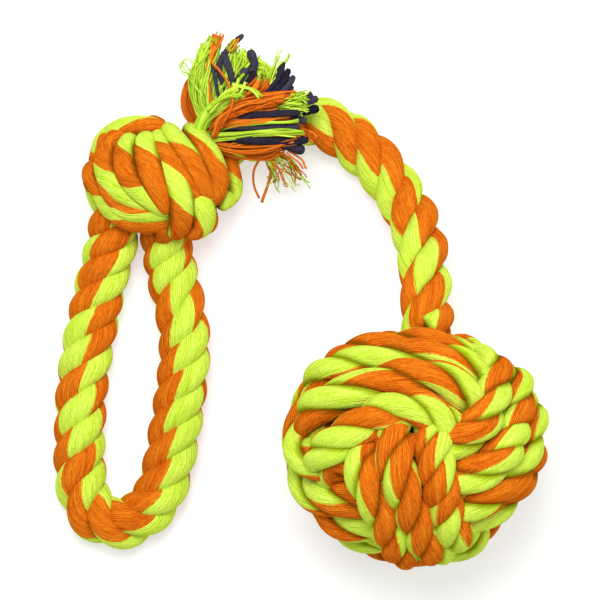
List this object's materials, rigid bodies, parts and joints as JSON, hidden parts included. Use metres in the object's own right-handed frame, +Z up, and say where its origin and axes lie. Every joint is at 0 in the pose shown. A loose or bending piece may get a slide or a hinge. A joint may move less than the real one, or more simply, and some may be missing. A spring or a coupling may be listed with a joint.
{
  "type": "rope dog toy",
  "caption": "Tug and fetch rope dog toy: a ball of wound cotton rope, a bare stretch of rope, a tight knot, a hand loop and a frayed tassel.",
  "frame": {"origin": "on the floor, under the middle of the laid-out toy's footprint", "axes": "the toy lies on its side on the floor: +Z up, +Y from the ball's side towards the knot and tassel, +X from the handle loop towards the ball"},
  "size_m": [0.1904, 0.21, 0.0991],
  "materials": {
    "ball_core": "matt rubber, hidden in the winding",
    "ball_winding": "three-strand cotton rope, lime and orange cover yarns over dark core yarns",
    "main_rope": "three-strand cotton rope, lime and orange cover yarns over dark core yarns",
    "handle_rope": "three-strand cotton rope, lime and orange cover yarns over dark core yarns",
    "lime_yarn": "loose soft cotton yarn",
    "dark_yarn": "loose soft cotton yarn, dark navy",
    "orange_yarn": "loose soft cotton yarn"
  },
  "bodies": {
    "root": {"ball_core": "ball_core", "ball_band_first": "ball_winding", "ball_band_second": "ball_winding", "ball_band_third": "ball_winding", "main_rope": "main_rope", "handle_knot": "handle_rope", "handle_loop": "handle_rope", "tassel_tuft_upper": "lime_yarn", "tassel_tuft_middle": "dark_yarn", "tassel_tuft_side": "orange_yarn"}
  },
  "joints": []
}
